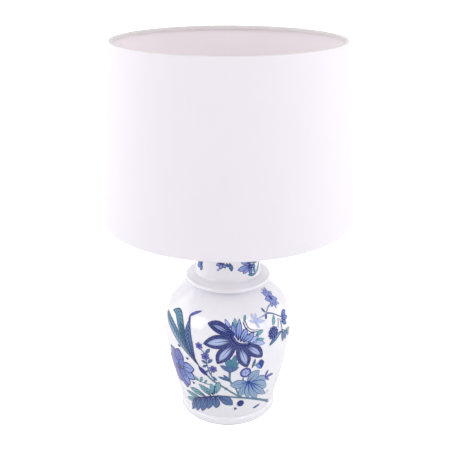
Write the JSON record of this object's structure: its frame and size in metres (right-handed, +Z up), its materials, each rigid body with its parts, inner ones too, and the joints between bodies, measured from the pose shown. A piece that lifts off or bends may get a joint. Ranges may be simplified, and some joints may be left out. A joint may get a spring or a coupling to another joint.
{
  "type": "table lamp",
  "caption": "Table lamp: glazed ceramic jar base with a blue flower print, clamped lid, screw lampholder with bulb, and a tapered white drum shade on a wire carrier.",
  "frame": {"origin": "centre of the underside of the felt pad", "axes": "+Z up along the lamp's axis; the cord entry is at the back, towards +Y; -Y is the front"},
  "size_m": [0.35, 0.35, 0.5482],
  "materials": {
    "felt_grey": "short grey felt",
    "glaze_white": "clear gloss glaze over a white body, with blue printed flowers",
    "rubber_black": "moulded black rubber",
    "cork_tan": "pressed cork",
    "steel_zinc": "zinc plated steel",
    "nickel_satin": "satin nickel plate",
    "plastic_white": "white moulded plastic",
    "block_ceramic": "unglazed insulating ceramic",
    "brass_plain": "plain brass strip",
    "fabric_white": "smooth white shade cloth",
    "liner_pale": "pale translucent shade lining sheet",
    "hem_white": "rolled off-white cloth hem",
    "wire_white": "white powder coated wire",
    "bulb_white": "white bulb housing",
    "bulb_opal": "opal diffusing globe",
    "board_white": "white coated aluminium board",
    "cap_nickel": "nickel plated sheet",
    "insulator_black": "black moulded insulator"
  },
  "bodies": {
    "base": {"felt_pad": "felt_grey", "jar_body": "glaze_white", "jar_lid": "glaze_white", "cord_bush": "rubber_black", "cork_gasket": "cork_tan", "clamp_washer": "steel_zinc", "lock_washer": "steel_zinc", "bottom_nut": "steel_zinc", "threaded_rod": "steel_zinc", "lid_plate": "nickel_satin", "stem_tube": "nickel_satin", "holder_cap": "plastic_white", "holder_grub_screw": "steel_zinc", "contact_block": "block_ceramic", "terminal_screws": "brass_plain", "centre_contact": "brass_plain", "side_contact": "brass_plain", "screw_shell": "brass_plain", "holder_skirt": "plastic_white"},
    "shade": {"shade_fabric": "fabric_white", "shade_liner": "liner_pale", "top_wire_ring": "wire_white", "bottom_wire_ring": "wire_white", "carrier_ring": "wire_white", "carrier_arms": "wire_white", "top_hem": "hem_white", "bottom_hem": "hem_white"},
    "shade_ring": {"shade_ring": "plastic_white"},
    "bulb": {"bulb_contact": "brass_plain", "bulb_insulator": "insulator_black", "bulb_cap": "cap_nickel", "bulb_housing": "bulb_white", "led_board": "board_white", "bulb_dome": "bulb_opal"}
  },
  "joints": [
    {"name": "shade_turn", "type": "hinge", "parent": "base", "child": "shade", "pos_m": [0, 0, 0.33], "axis": [0, 0, 1], "continuous": true},
    {"name": "shade_ring_turn", "type": "hinge", "parent": "base", "child": "shade_ring", "pos_m": [0, 0, 0.337], "axis": [0, 0, 1], "range_deg": [0, 1440]},
    {"name": "bulb_turn", "type": "hinge", "parent": "base", "child": "bulb", "pos_m": [0, 0, 0.34], "axis": [0, 0, 1], "range_deg": [0, 1800]}
  ]
}
